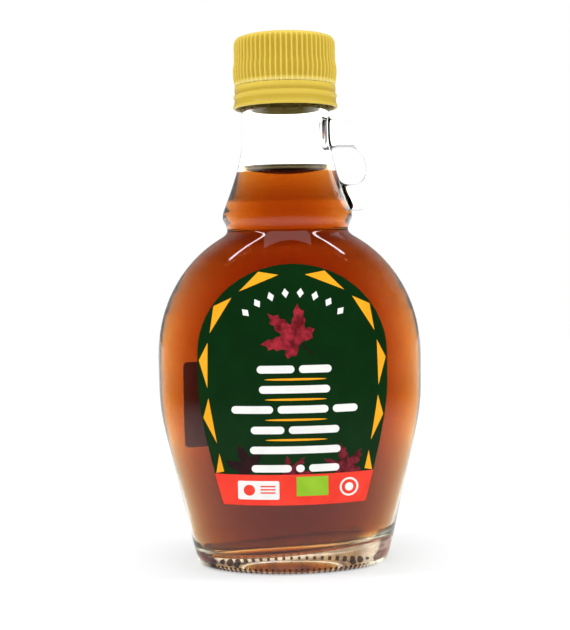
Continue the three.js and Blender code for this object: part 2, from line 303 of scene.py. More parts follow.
def show(shader, volume=None):
    """Joins a shader, and a volume if there is one, to the material's output."""
    shader.node("OutputMaterial", {}, {"Surface": shader, **({"Volume": volume} if volume else {})})


SYRUP_IOR = 1.12  # less than the real 1.47, since the exact section of the real flask isn't known
FOOT_PAINTED_LIGHT_TOP, FOOT_PAINTED_GLOW_ENDS, FOOT_PAINTED_GLOW_MIDDLE = (0.0045, 0.0062), (0.022, 0.028), 0.003


def glass_finish(name, index, mirror):
    """Clear glass with a mould's slight waves; mirror is what is left of the plain reflection.

    The thick glass of the foot has painted light: it is tinted amber, with painted shade, where light through
    the syrup above would colour it, and it emits a painted pale glow at its two ends.
    """
    material, start = new_finish(name)
    x, z = (start.node("SeparateXYZ", {}, {"Vector": start.coordinates()}, i) for i in (0, 2))
    # Painted light in the foot: below this height the glass is tinted with painted amber light and shade, and
    # at its two ends it emits a painted pale glow.
    low = 1 - (z - x * FLOOR_SLANT).ramp(*FOOT_PAINTED_LIGHT_TOP)
    ends = start.math("ABSOLUTE", x + FOOT_PAINTED_GLOW_MIDDLE).ramp(*FOOT_PAINTED_GLOW_ENDS)
    painted_amber_light = start.noise(260, 3.0, (1, 1, 0.3)).ramp(0.35, 0.65)
    painted_amber_light = painted_amber_light.mixed((0.085, 0.048, 0.026, 1), (0.235, 0.14, 0.062, 1))
    # The painted pale glow at the foot's two ends.
    pale = start.noise(190, 2.0, (1, 1, 3)).ramp(0.35, 0.65)
    pale = pale.mixed((0.05, 0.048, 0.036, 1), (0.25, 0.26, 0.20, 1))
    show(start.node("BsdfPrincipled", {}, {
        "Base Color": (low * (1 - ends)).mixed((0.985, 0.995, 0.988, 1), painted_amber_light),
        "Roughness": 0.0,
        "IOR": index,
        "Transmission Weight": 1.0,
        "Specular Tint": (mirror, mirror, mirror, 1),
        "Emission Color": (low * ends).mixed((0, 0, 0, 1), pale),
        "Emission Strength": 1.0,
        "Normal": start.noise(45, 1.0).bumped(0.00002),
    }))
    return material


clear_glass = glass_finish("clear_glass", 1.5, 1.0)
# Where syrup touches glass, the glass doesn't mirror. Through the floor light goes straight on, and through
# the wall it is bent more the higher it passes, as the glass's index falls from each height to the next.
wetted_floor = glass_finish("wetted_floor", SYRUP_IOR, 0.0)
WETTED = [(0, 1.5), (80, 1.46), (85, 1.42), (89, 1.38), (93, 1.34), (97, 1.30), (101, 1.27), (105, 1.24)]
wetted_glass = [glass_finish(f"wetted_glass_{low}", index, 0.0) for low, index in WETTED]

EAR_X, EAR_Z = 20.5, 125.4
EAR_TILT = math.radians(12)
EAR_HOLE_ALONG, EAR_HOLE_ACROSS = 5.1, 6.3
EAR_SETBACK, EAR_RADIUS, EAR_HALF_THICKNESS = 4.7, 15.3, 3.8
EAR_SOFTENING = 1.06  # what subdivision takes off the ear
EAR_ANGLES = [93, 76, 59, 40, 20, 0, -20, -40, -59, -76, -93]
EAR_COLUMNS = 4  # sides of the neck's skin that an arm of the ear takes up
EAR_HALF_TURN = math.pi / FLASK_SIDES * EAR_COLUMNS

heel = bend([(FOOT_WIDTH, 0.0), (FOOT_WIDTH + 1.9, 0.0), (HEEL_WIDTH - 0.5, 1.9), (HEEL_WIDTH, HEEL_Z)],
            [0.15, 0.4, 0.7, 1])
side = [(body_width(z), z) for z in (9, 15, 22, 29, 36, SIDE_Z)]
waist = bend([(SIDE_WIDTH, SIDE_Z), (BELLY_WIDTH, WAIST_Z), (BELLY_WIDTH, WAIST_END)], steps(4, 1))
arch = shoulder(0, 16, 0)
groove = bend([arch[-1], (GROOVE_RADIUS, GROOVE_Z - 0.9), (GROOVE_RADIUS, GROOVE_Z)], [0.55, 1])
groove += bend([groove[-1], (GROOVE_RADIUS + 0.05, 107.0), (19.9, BULGE_FOOT_Z)], [0.5, 1])
bulge = bend([(19.9, BULGE_FOOT_Z), (20.5, 108.8), (20.8, 110.4), (BULGE_TOP_RADIUS, BULGE_TOP_Z)],
             [0.35, 0.7, 1])
flare = bend([(BULGE_TOP_RADIUS, BULGE_TOP_Z), (17.6, 118.0), (NECK_RADIUS, 128.0), (NECK_RADIUS, NECK_Z)],
             [0.12, 0.24, 0.35, 0.48, 0.6, 0.72, 0.85, 0.97])
throat = [(NECK_RADIUS, z) for z in (137.0, 139.6, 142.5, 145.6)]
bead = [(14.5, 146.4), (14.6, 147.4), (14.5, 148.4), (FINISH_RADIUS, 149.2)]
finish = [(FINISH_RADIUS, z) for z in (153, 158, 162.4)]
lip = [(12.6, LIP_Z), (11.6, LIP_Z), (CAVITY_NECK, 162.4), (CAVITY_NECK, 150), (CAVITY_NECK, 141)]
punt = bend([(0.0, PUNT_RISE), (PUNT_WIDTH * 0.6, PUNT_RISE), (PUNT_WIDTH, 0.0)], [0.15, 0.4, 0.7, 0.93])
foot = [(PUNT_WIDTH + 0.6, 0.05), (PUNT_WIDTH + 2.2, 0.0), (FOOT_WIDTH - 1, 0.0)]

outside = punt + foot + heel + side + waist + arch + groove + bulge + flare + throat + bead + finish
inside = cavity(0)[::-1]
bm = bmesh.new()
outer_rings = oval_rings(outside + lip, 0)
inner_rings = oval_rings(inside, WALL)
add_rings(bm, outer_rings + inner_rings, FLASK_SIDES)
# The faces come ring by ring, so that a face's number tells how high it lies in the cavity.
for number, face in enumerate(bm.faces):
    ring = number // FLASK_SIDES - len(outer_rings)
    height = inner_rings[ring][2] if ring >= 0 else SYRUP_LEVEL
    if height < FLOOR_Z + 1.5:
        face.material_index = 1
    elif height < SYRUP_LEVEL:
        face.material_index = 1 + sum(height >= low for low, index in WETTED)
skin = set(bm.faces)
close_ends(bm)
for face in set(bm.faces) - skin:
    face.material_index = 1 if face.calc_center_median().z > PUNT_RISE + 1 else 0
# Whatever lies within the cavity's wall and near the floor rises with the floor's slant.
for v in bm.verts:
    if FLOOR_Z - 0.1 < v.co.z < SLANT_END:
        half = body_width(v.co.z) - WALL + 0.3
        if (v.co.x / half) ** 2 + (v.co.y / half / section_ratio(v.co.z, WALL)) ** 2 < 1:
            v.co.z = slanted(v.co.x, v.co.z)


def ear_patch(bm, low, high):
    """Takes the neck's faces out where an arm of the ear grows, and returns the hole's corners."""
    faces = []
    for f in bm.faces:
        c = f.calc_center_median()
        outer = c.xy.length > NECK_RADIUS - 1.2 and f.normal.x > 0
        if low < c.z < high and outer and abs(math.atan2(c.y, c.x)) < EAR_HALF_TURN + 0.01:
            faces.append(f)
    bmesh.ops.delete(bm, geom=faces, context="FACES_ONLY")
    bmesh.ops.delete(bm, geom=[e for e in bm.edges if e.is_wire], context="EDGES")
    bmesh.ops.delete(bm, geom=[v for v in bm.verts if not v.link_edges], context="VERTS")
    return {v for v in bm.verts if v.is_boundary and low - 3 < v.co.z < high + 3}


def ear_section(angle):
    """Inner and outer point of the ear in its own plane, at an angle round the hole."""
    inner = Vector((EAR_HOLE_ALONG * math.cos(angle), EAR_HOLE_ACROSS * math.sin(angle)))
    way = inner.normalized()
    along = -EAR_SETBACK * way.x
    reach = along + math.sqrt(along ** 2 + EAR_RADIUS ** 2 - EAR_SETBACK ** 2)
    tilt = Matrix.Rotation(EAR_TILT, 2)
    return [Vector((EAR_X, EAR_Z)) + tilt @ p for p in (inner, way * reach)]


def place_in(inner, outer, across, up, half_width):
    """A point of a section between its inner and its outer end, at shares from -1 to 1."""
    middle = (inner + outer) / 2 + (outer - inner) / 2 * up
    return Vector((middle.x, half_width * across, middle.y))


def place_key(v):
    """A corner's place, by which it is known again after an extrusion."""
    return tuple(round(c, 4) for c in v.co)


def shares_of(verts, flip):
    """Where each corner of a patch lies across and up it, from -1 to 1."""
    levels = sorted({round(v.co.z, 2) for v in verts})
    found = {}
    for v in verts:
        across = math.atan2(v.co.y, v.co.x) / EAR_HALF_TURN
        up = 2 * levels.index(round(v.co.z, 2)) / (len(levels) - 1) - 1
        found[v] = (round(across * 2) / 2, up * flip)
    return found


# The ear grows from its upper arm, section by section, until its corners are set on those of the lower arm.
upper = ear_patch(bm, flare[6][1], throat[1][1])
lower = ear_patch(bm, BULGE_TOP_Z, flare[2][1])
lower_places = {(across, round(up, 2)): v.co.copy() for v, (across, up) in shares_of(lower, -1).items()}
edges = [e for e in bm.edges if e.is_boundary and e.verts[0] in upper and e.verts[1] in upper]
shares = {place_key(v): share for v, share in shares_of(upper, 1).items()}
for angle in EAR_ANGLES + [None]:
    verts, edges = drawn_out(bm, edges)
    moved = {}
    for v in verts:
        across, up = shares[place_key(v)]
        if angle is None:
            v.co = lower_places[(across, round(up, 2))]
        else:
            inner, outer = ear_section(math.radians(angle))
            v.co = place_in(inner, outer, across, up, EAR_HALF_THICKNESS * EAR_SOFTENING)
        moved[place_key(v)] = (across, up)
    shares = moved
weld(bm)
flask = piece("flask", bm, clear_glass, levels=2)
for material in [wetted_floor] + wetted_glass:
    flask.data.materials.append(material)
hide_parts("glass_flask")


BLOCK_CORNER = 0.22  # the radius of a block's edges, as a share of its least side


def rounded_block(bm, size, matrix):
    """A block of a size with rounded edges, set at a place."""
    verts = bmesh.ops.create_cube(bm, size=1)["verts"]
    bmesh.ops.scale(bm, vec=size, verts=verts)
    edges = {e for v in verts for e in v.link_edges}
    rounded = bmesh.ops.bevel(bm, geom=list(edges), offset=min(size) * BLOCK_CORNER, offset_type="OFFSET",
                              segments=2, profile=0.5, affect="EDGES", material=-1)
    corners = {v for f in rounded["faces"] for v in f.verts} | {v for v in verts if v.is_valid}
    bmesh.ops.transform(bm, matrix=matrix, verts=list(corners))


# The knurls are small blocks of glass that stand half out of the curve of the heel.
KNURLS = 104
KNURL_SIZE = (1.9, 0.62, 0.5)
KNURL_WIDTH, KNURL_Z, KNURL_LEAN = 29.75, 0.92, math.radians(-46)
knurl_depth = KNURL_WIDTH * section_ratio(KNURL_Z)
bm = bmesh.new()
for i in range(KNURLS):
    t = 2 * math.pi * i / KNURLS
    turn = math.atan2(math.sin(t) / knurl_depth, math.cos(t) / KNURL_WIDTH)
    place = Matrix.Translation((KNURL_WIDTH * math.cos(t), knurl_depth * math.sin(t), KNURL_Z))
    place @= Matrix.Rotation(turn, 4, "Z") @ Matrix.Rotation(KNURL_LEAN, 4, "Y")
    rounded_block(bm, KNURL_SIZE, place)
knurls = piece("foot_knurls", bm, clear_glass)


# The syrup is a clear, dark amber liquid. It fills the flask to the middle of the neck, reaches just
# into the glass so that no gap shows, and climbs the wall a little at its surface.
SYRUP_OVERLAP = 0.12
MENISCUS = 0.9
SYRUP_COLOUR, SYRUP_DENSITY = (0.80, 0.555, 0.075, 1), 268.0

syrup_finish, start = new_finish("amber_syrup")
show(start.node("BsdfPrincipled", {}, {
    "Base Color": (1, 1, 1, 1),
    "Roughness": 0.0,
    "IOR": SYRUP_IOR,
    "Transmission Weight": 1.0,
    "Specular Tint": (0, 0, 0, 1),
}), start.node("VolumeAbsorption", {}, {"Color": SYRUP_COLOUR, "Density": SYRUP_DENSITY}))

# An opaque near-black finish of painted shade, for the syrup's free surface and the lens below it.
painted_shade_finish, start = new_finish("syrup_surface_painted_shade")
show(start.node("BsdfPrincipled", {}, {
    "Base Color": start.noise(300, 2.0).mixed((0.010, 0.003, 0.001, 1), (0.024, 0.009, 0.002, 1)),
    "Roughness": 0.12,
    "IOR": 1.47,
}))

# The fill follows the cavity up to the last point below its level, and then the line to the next point.
filled = [p for p in cavity(SYRUP_OVERLAP) if p[1] < SYRUP_LEVEL - 1]
above = cavity(SYRUP_OVERLAP)[len(filled)]
share = (SYRUP_LEVEL + MENISCUS - filled[-1][1]) / (above[1] - filled[-1][1])
wall = filled[-1][0] + (above[0] - filled[-1][0]) * share
surface = [(wall, SYRUP_LEVEL + MENISCUS), (wall - 0.35, SYRUP_LEVEL + 0.35 * MENISCUS),
           (wall - 1.1, SYRUP_LEVEL), (wall - 3, SYRUP_LEVEL - 0.05), (wall - 7, SYRUP_LEVEL - 0.05)]
bm = bmesh.new()
add_rings(bm, oval_rings(filled + surface, WALL - SYRUP_OVERLAP), FLASK_SIDES, slant=True)
close_ends(bm)
# The faces at the syrup's level take the painted shade.
for face in bm.faces:
    if all(SYRUP_LEVEL - 0.5 < v.co.z < SYRUP_LEVEL + 0.1 for v in face.verts):
        face.material_index = 1
syrup = piece("syrup_fill", bm, syrup_finish, levels=2)
syrup.data.materials.append(painted_shade_finish)
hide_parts("syrup")


# Just below its surface the syrup is made nearly black from the side by a lens of painted shade, topped by a
# pale band of foam film that also stands for painted reflection off the surface's underside, and tiny bubbles
# stand in a ring on the surface, where it meets the glass.
FOAM_BEADS = 110
LENS_TOP, LENS_RIM, LENS_DEPTH = SYRUP_LEVEL - 0.85, SYRUP_LEVEL - 0.9, 2.4


def round_rings(rows):
    """Rings with a round section, from radii and heights."""
    return [(row[0], row[0], row[1], 2) for row in rows]


# The lens is a thin dark body of painted shade, flat on top and bowed below, just under the syrup's level.
rim = wall - 1.0
rows = [(rim * r, LENS_RIM - LENS_DEPTH * (1 - r * r)) for r in (0.05, 0.25, 0.45, 0.62, 0.76, 0.88, 0.96)]
rows += [(rim * r, LENS_TOP) for r in (1, 0.5, 0.05)]
bm = bmesh.new()
add_rings(bm, round_rings(rows), FLASK_SIDES)
close_ends(bm)
shade = piece("surface_shade", bm, painted_shade_finish)

# A pale finish for the foam beads, and for the band under the surface that is painted reflection.
foam_and_painted_reflection, start = new_finish("pale_foam_and_painted_reflection")
show(start.node("BsdfPrincipled", {}, {
    "Base Color": start.noise(700, 2.0).mixed((0.30, 0.27, 0.14, 1), (0.52, 0.50, 0.34, 1)),
    "Roughness": 0.25,
    "IOR": 1.4,
}))
# A pale band of foam film just under the level, which also stands for painted reflection off the underside of
# the syrup's surface; the beads above it are foam.
band_foot, band_top = SYRUP_LEVEL - 0.8, SYRUP_LEVEL - 0.12
rows = [(rim - 0.5, band_foot), (rim + 0.05, band_foot), (rim + 0.05, band_top), (rim - 0.5, band_top)]
bm = bmesh.new()
add_rings(bm, round_rings(rows + rows[:1]), FLASK_SIDES)
weld(bm)
for i in range(FOAM_BEADS):
    size = 0.2 + 0.14 * math.sin(i * 2.4) ** 2
    out = wall - 0.45 - 0.5 * math.sin(i * 7.1) ** 2
    place = Matrix.Rotation(2 * math.pi * (i + 0.3 * math.sin(i * 5.3)) / FOAM_BEADS, 4, "Z")
    place @= Matrix.Translation((out, 0, SYRUP_LEVEL + 0.28))
    bmesh.ops.create_icosphere(bm, subdivisions=2, radius=size, matrix=place)
foam_and_reflection_band = piece("foam_beads_and_painted_reflection_band", bm, foam_and_painted_reflection)


# The screw cap is moulded in golden yellow plastic. Fine ribs run from its rounded top edge over a
# slightly wider skirt, and it is hollow above the neck's finish.
CAP_TOP, CAP_FOOT = 165.8, 150.6
CAP_RADIUS, CAP_SKIRT = 15.95, 16.33
CAP_INSIDE, CAP_LEDGE_Z = 15, 151.3
RIBS = 60
RIB_DEPTH = 0.52
# The corners of one rib and groove: their places along it, and how deep they lie.
RIB_PLACES = [(-0.10, 0), (0, -0.06), (0.10, 0), (0.20, 0.7), (0.30, 1), (0.5, 1.04), (0.70, 1), (0.80, 0.7)]
# The tones of the plastic: the painted highlight on the ledge, the ridges, the painted shade in the grooves,
# and the painted shade inside the ring.
LEDGE_PAINTED_HIGHLIGHT, RIDGE, GROOVE_PAINTED_SHADE, INSIDE_PAINTED_SHADE = -1.0, 0.0, 1.0, 2.0

cap_plastic, start = new_finish("yellow_plastic")
grain = start.noise(9000, 2.0)
cloud = start.noise(90, 2.0)
ridge = cloud.mixed((0.78, 0.57, 0.062, 1), (0.86, 0.65, 0.090, 1))
groove = cloud.mixed((0.56, 0.385, 0.022, 1), (0.63, 0.44, 0.030, 1))
# A tone attribute on the mesh darkens the grooves with painted shade, darkens the inside of the ring further
# with painted shade, and lightens the ledge with a painted highlight.
depth = start.node("Attribute", {"attribute_name": "groove"}, output=2)
tone = (depth - GROOVE_PAINTED_SHADE).mixed(depth.mixed(ridge, groove), (0.30, 0.22, 0.035, 1))
tone = (RIDGE - depth).mixed(tone, (0.95, 0.80, 0.26, 1))
show(start.node("BsdfPrincipled", {}, {
    "Base Color": tone,
    "Roughness": cloud * 0.12 + 0.30,
    "IOR": 1.49,
    "Subsurface Weight": 0.12,
    "Subsurface Radius": (0.004, 0.0025, 0.0006),
    "Subsurface Scale": 0.4,
    "Normal": grain.bumped(0.00002, 0.3),
}))

# Radius and height of the cap's skin, and how much of the ribs' depth it has there.
rows = [
    (9.0, 163.4, 0), (13.6, 163.4, 0), (14.0, 163.0, 0), (14.0, 156, 0), (14.0, 151.2, 0), (14.3, 150.7, 0),
    (15.2, CAP_FOOT, 0), (15.75, 150.7, 0.85), (15.95, 151.1, 1), (16.1, 152.3, 1), (16.28, 153.8, 1),
    (CAP_SKIRT, 155.1, 1), (16.3, 156.2, 1), (16.08, 157.3, 1), (CAP_RADIUS, 158.3, 1),
    (CAP_RADIUS, 160.6, 1), (CAP_RADIUS, 162.9, 1), (15.88, 164.1, 0.85), (15.55, 164.9, 0.3),
    (15.05, 165.45, 0), (14.3, 165.72, 0), (13.4, CAP_TOP, 0), (12.7, 165.78, 0), (12.4, 165.55, 0),
    (11.8, 165.5, 0), (4.0, 165.5, 0),
]
bm = bmesh.new()
add_rings(bm, round_rings(rows), RIBS * len(RIB_PLACES))
close_ends(bm)
relief = {round(z, 3): share for radius, z, share in rows}
pitch = 2 * math.pi / RIBS
painted_light_tones = bm.verts.layers.float.new("groove")
for v in bm.verts:
    radius = v.co.xy.length
    ribs_along = math.atan2(v.co.y, v.co.x) / pitch
    corner = round(ribs_along % 1 * len(RIB_PLACES)) % len(RIB_PLACES)
    whole = math.floor(ribs_along + 0.001 + 0.5 / len(RIB_PLACES))
    place, deep = RIB_PLACES[corner]
    share = relief[round(v.co.z, 3)] if radius > CAP_INSIDE else 0
    angle = (whole + place) * pitch
    radius -= RIB_DEPTH * deep * share
    # The ledge rows get the painted highlight, and the rest painted shade by the depth of the groove.
    on_ledge = v.co.z <= CAP_LEDGE_Z and radius >= CAP_INSIDE
    v[painted_light_tones] = LEDGE_PAINTED_HIGHLIGHT if on_ledge else min(GROOVE_PAINTED_SHADE, deep * share)
    v.co.x = radius * math.cos(angle)
    v.co.y = radius * math.sin(angle)
cap = piece("ribbed_cap", bm, cap_plastic)
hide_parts("screw_cap")


# The tamper ring hangs under the cap on small bridges and is moulded with it. It has two plain bands,
# each a little wider than the one above, a rolled rim, and catches inside that grip below the bead.
RING_TOP, RING_RIM = 150.58, 143.5
RING_INSIDE, RING_SIDES = 15.6, 96
RING_HOLLOWS = [(144.2, 146.6), (147.75, 148.8)]
RING_HOLLOW_SHADE, RING_TONE, BRIDGE_TONE = 0.9, 0.25, 0.3
BRIDGES, BRIDGE_SIZE = 30, (0.5, 0.7, 0.7)
CATCHES, CATCH_SIZE, CATCH_LEAN = 14, (0.7, 4.2, 2.6), 0.25

rows = [
    (15.0, 149.9), (15.15, 147), (15.35, 144.3), (15.55, 143.65), (15.95, RING_RIM), (16.4, 143.7),
    (16.5, 144.1), (16.42, 144.6), (16.05, 145.0), (15.95, 146.2), (16.0, 146.7), (16.3, 147.0),
    (16.32, 147.5), (16.2, 147.85), (15.72, 148.05), (15.7, 148.35), (15.92, 148.6), (15.96, 149.6),
    (15.94, 150.2), (15.8, RING_TOP), (15.1, 150.5),
]
bm = bmesh.new()
add_rings(bm, round_rings(rows + rows[:1]), RING_SIDES)
weld(bm)
painted_light_tones = bm.verts.layers.float.new("groove")
# The hollows of the bands get painted shade, and the inside of the ring the darker painted shade; the rest of
# the ring lies a little way towards the grooves' tone.
for v in bm.verts:
    in_hollow = any(low < v.co.z < high for low, high in RING_HOLLOWS)
    v[painted_light_tones] = INSIDE_PAINTED_SHADE if v.co.xy.length < RING_INSIDE else RING_HOLLOW_SHADE if in_hollow else RING_TONE
ring = piece("tamper_band", bm, cap_plastic, levels=1)
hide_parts("tamper_ring")


def blocks_round(count, radius, z, size, lean, tone):
    """Small rounded blocks in a ring about the axis, in one tone of the plastic, from the ridges' tone to
    painted shade.
    """
    bm = bmesh.new()
    for i in range(count):
        place = Matrix.Rotation(i * 2 * math.pi / count, 4, "Z") @ Matrix.Translation((radius, 0, z))
        rounded_block(bm, size, place @ Matrix.Rotation(lean, 4, "Y"))
    painted_light_tones = bm.verts.layers.float.new("groove")
    for v in bm.verts:
        v[painted_light_tones] = tone
    return bm


bm = blocks_round(BRIDGES, 15.45, 150.42, BRIDGE_SIZE, 0, BRIDGE_TONE)
bridges = piece("ring_bridges", bm, cap_plastic)
bm = blocks_round(CATCHES, 14.9, 146.6, CATCH_SIZE, CATCH_LEAN, INSIDE_PAINTED_SHADE)
catches = piece("ring_catches", bm, cap_plastic)


# The front label is one sheet of dark green printed paper with an arched top. Its print is a border of
# plain gold triangles, a red leaf, white bars between thin gold rules, and a red strip with plain fields.
PAPER = 0.12
GLUE = 0.03
INK = 0.03
LABEL_HALF, LABEL_ARCH_Z, LABEL_ARCH_RISE = 28.7, 67.8, 27.0
LABEL_TAPER_Z, LABEL_FOOT_Z, LABEL_FOOT_HALF, LABEL_BEND = 58.0, 22.2, 21.6, 1.4
STRIP_Z = 31.7
FRONT, BACK = -1, 1


def label_half(z):
    """The front label's half width at a height."""
    if z > LABEL_ARCH_Z:
        return LABEL_HALF * math.sqrt(max(0.0, 1 - ((z - LABEL_ARCH_Z) / LABEL_ARCH_RISE) ** 2))
    taper = max(0.0, (LABEL_TAPER_Z - z) / (LABEL_TAPER_Z - LABEL_FOOT_Z)) ** LABEL_BEND
    return LABEL_HALF + (LABEL_FOOT_HALF - LABEL_HALF) * taper


def on_arch(turn):
    """The point of the label's arched edge at a turn up from its right end."""
    return LABEL_HALF * math.cos(turn), LABEL_ARCH_Z + LABEL_ARCH_RISE * math.sin(turn)


def between(low, high, count=24):
    """The label's outline between two heights, as points of its right edge and then of its left."""
    heights = [low + (high - low) * s for s in steps(count)]
    right = [(label_half(z), z) for z in heights if z <= LABEL_ARCH_Z]
    left_from = -1
    if high > LABEL_ARCH_Z:
        right += [on_arch(math.pi / 2 * s) for s in steps(count, 1)]
        left_from = -2  # the arch's top point is on both sides
    return right + [(-x, z) for x, z in right[left_from::-1]]


def laid_on(outlines, lift, thickness, facing=FRONT, grid=1.6):
    """Cuts flat outlines into small faces, bends them on to the flask and makes them so thick."""
    bm = bmesh.new()
    for outline in outlines:
        bm.faces.new([bm.verts.new((x, 0, z)) for x, z in outline])
    bm.normal_update()
    bmesh.ops.triangulate(bm, faces=bm.faces, ngon_method="EAR_CLIP")
    for axis, normal, step in ((0, Vector((1, 0, 0)), grid), (2, Vector((0, 0, 1)), grid * 1.6)):
        low = min(v.co[axis] for v in bm.verts)
        high = max(v.co[axis] for v in bm.verts)
        for i in range(math.ceil(low / step), math.floor(high / step) + 1):
            geom = list(bm.verts) + list(bm.edges) + list(bm.faces)
            bmesh.ops.bisect_plane(bm, geom=geom, dist=1e-4, plane_co=normal * (i * step), plane_no=normal)
    for v in bm.verts:
        width = body_width(v.co.z) + lift
        depth = body_width(v.co.z) * section_ratio(v.co.z) + lift
        v.co.y = facing * depth * math.sqrt(1 - (v.co.x / width) ** 2)
    bmesh.ops.recalc_face_normals(bm, faces=bm.faces)
    for f in bm.faces:
        if f.normal.y * facing < 0:
            f.normal_flip()
    bmesh.ops.solidify(bm, geom=list(bm.faces), thickness=thickness)
    bmesh.ops.recalc_face_normals(bm, faces=bm.faces)
    return bm


def paper_finish(name, dark, light, roughness=0.42, clouds=160):
    """Varnished printed paper: two tones of one colour in soft clouds, over the fibres' faint relief."""
    material, start = new_finish(name)
    cloud = start.noise(clouds, 3.0)
    fibres = start.noise(5200, 3.0, (1, 1, 2.2))
    tone = cloud.ramp(0.3, 0.7).mixed((*dark, 1), (*light, 1))
    show(start.node("BsdfPrincipled", {}, {
        "Base Color": tone,
        "Roughness": fibres * 0.12 + (roughness - 0.06),
        "IOR": 1.46,
        "Specular IOR Level": 0.12,
        "Normal": fibres.bumped(0.00002, 0.35),
    }))
    return material


# The paper's glued back, seen through the syrup, is given a painted reddish glow by its emission.
glue_side_painted_glow, start = new_finish("glue_side_painted_glow")
show(start.node("BsdfPrincipled", {}, {
    "Base Color": start.noise(900, 3.0).mixed((0.55, 0.45, 0.40, 1), (0.75, 0.65, 0.58, 1)),
    "Roughness": 0.7,
    "Emission Color": (0.22, 0.105, 0.095, 1),
    "Emission Strength": 1.0,
}))
green_print = paper_finish("green_print", (0.0006, 0.026, 0.0024), (0.0009, 0.031, 0.0032))
gold_print = paper_finish("gold_print", (0.97, 0.39, 0.010), (1.0, 0.44, 0.016))
leaf_print = paper_finish("leaf_print", (0.12, 0.004, 0.008), (0.42, 0.022, 0.040), clouds=420)
white_print = paper_finish("white_print", (0.86, 0.86, 0.84), (0.92, 0.92, 0.90))
dark_leaf_print = paper_finish("dark_leaf_print", (0.010, 0.004, 0.004), (0.030, 0.006, 0.008))
fallen_leaf_print = paper_finish("fallen_leaf_print", (0.035, 0.003, 0.005), (0.23, 0.016, 0.030), clouds=600)
red_print = paper_finish("red_print", (0.86, 0.045, 0.025), (0.94, 0.06, 0.035))
lime_print = paper_finish("lime_print", (0.27, 0.52, 0.025), (0.33, 0.58, 0.035))

bm = laid_on([between(LABEL_FOOT_Z, LABEL_ARCH_Z + LABEL_ARCH_RISE)], PAPER + GLUE, PAPER)
# The inner faces take the glue side with its painted glow.
for face in bm.faces:
    face.material_index = 1 if face.normal.y > 0.2 else 0
label = piece("front_paper", bm, green_print, sharp=40)
label.data.materials.append(glue_side_painted_glow)
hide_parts("front_label")


def printed(name, outlines, material, layer=1, facing=FRONT):
    """One colour of the label's print, as a film on the paper."""
    bm = laid_on(outlines, PAPER + GLUE + INK * layer, INK, facing)
    made = piece(name, bm, material, sharp=40)
    return made


def bar(x, z, half, height):
    """A bar with round ends, about its middle."""
    r = height / 2
    turns = [math.pi * (s - 0.5) for s in steps(8)]
    end = [(half - r + r * math.cos(t), z + r * math.sin(t)) for t in turns]
    return [(x + px, pz) for px, pz in end] + [(x - px, 2 * z - pz) for px, pz in end]


def box(x, z, half, half_height, corner=0.5):
    """A box with rounded corners."""
    points = []
    for sx, sz, first in ((1, 1, 0), (-1, 1, 1), (-1, -1, 2), (1, -1, 3)):
        for s in steps(4):
            t = math.pi / 2 * (first + s)
            points.append((x + sx * (half - corner) + corner * math.cos(t),
                           z + sz * (half_height - corner) + corner * math.sin(t)))
    return points


def disc(x, z, radius, sides=32):
    """A flat disc, as a polygon."""
    turns = [2 * math.pi * i / sides for i in range(sides)]
    return [(x + radius * math.cos(t), z + radius * math.sin(t)) for t in turns]


# The border is a row of plain triangles, with their points on the label's edge. The red strip covers half
# of the lowest one.
TRIANGLES, TRIANGLE_PITCH = 5, 17.5
TRIANGLE_HALF, TRIANGLE_LEAN = 7.1, 1.3
TRIANGLE_BASE, TRIANGLE_POINT = 2.9, 0.45
heights = [STRIP_Z + (LABEL_ARCH_Z - STRIP_Z) * s for s in steps(400)]
edge_points = [(label_half(z), z) for z in heights]
edge_points += [on_arch(math.radians(85) * s) for s in steps(400, 1)]
lengths = [0.0]
for a, b in zip(edge_points, edge_points[1:]):
    lengths.append(lengths[-1] + math.dist(a, b))


def on_edge(distance, inset):
    """The point inside the label's edge, at a distance along it from the strip."""
    i = next(k for k, length in enumerate(lengths) if length >= distance and k > 0)
    a, b = Vector(edge_points[i - 1]), Vector(edge_points[i])
    way = (b - a).normalized()
    return b + Vector((-way.y, way.x)) * inset


triangles = []
for i in range(TRIANGLES):
    point = i * TRIANGLE_PITCH
    corners = [on_edge(max(0.0, point - TRIANGLE_HALF - TRIANGLE_LEAN), TRIANGLE_BASE),
               on_edge(point, TRIANGLE_POINT),
               on_edge(point + TRIANGLE_HALF - TRIANGLE_LEAN, TRIANGLE_BASE)]
    for sign in (1, -1):
        triangles.append([(sign * c.x, c.y) for c in corners])
printed("gold_border", triangles, gold_print)

# The leaf is a plain leaf with five toothed lobes, drawn by its right half from the tip to the stem.
LEAF_X, LEAF_Z, LEAF_SIZE, LEAF_TURN = 2.1, 71.3, 13.2, math.radians(47)
LEAF_HALF = [
    (0, 1.0), (0.05, 0.85), (0.14, 0.80), (0.10, 0.70), (0.17, 0.61), (0.14, 0.50), (0.17, 0.42),
    (0.27, 0.50), (0.36, 0.51), (0.42, 0.59), (0.62, 0.64), (0.56, 0.50), (0.60, 0.42), (0.49, 0.36),
    (0.49, 0.28), (0.36, 0.20), (0.33, 0.13), (0.41, 0.09), (0.45, -0.03), (0.34, -0.05), (0.28, -0.13),
    (0.16, -0.08), (0.05, -0.01),
]
LEAF_STEM = [(0.0, 0.0), (0.013, 0.0), (0.02, -0.36), (-0.02, -0.36), (-0.013, 0.0)]
LEAF_OUTLINE = LEAF_HALF + [(0, -0.02)] + [(-x, z) for x, z in LEAF_HALF[:0:-1]]


def leaf(x, z, size, turn, shape=LEAF_OUTLINE):
    """A leaf of a size with its base at a place, turned anticlockwise."""
    spin = Matrix.Rotation(turn, 2)
    return [tuple(Vector((x, z)) + spin @ (Vector(p) * size)) for p in shape]


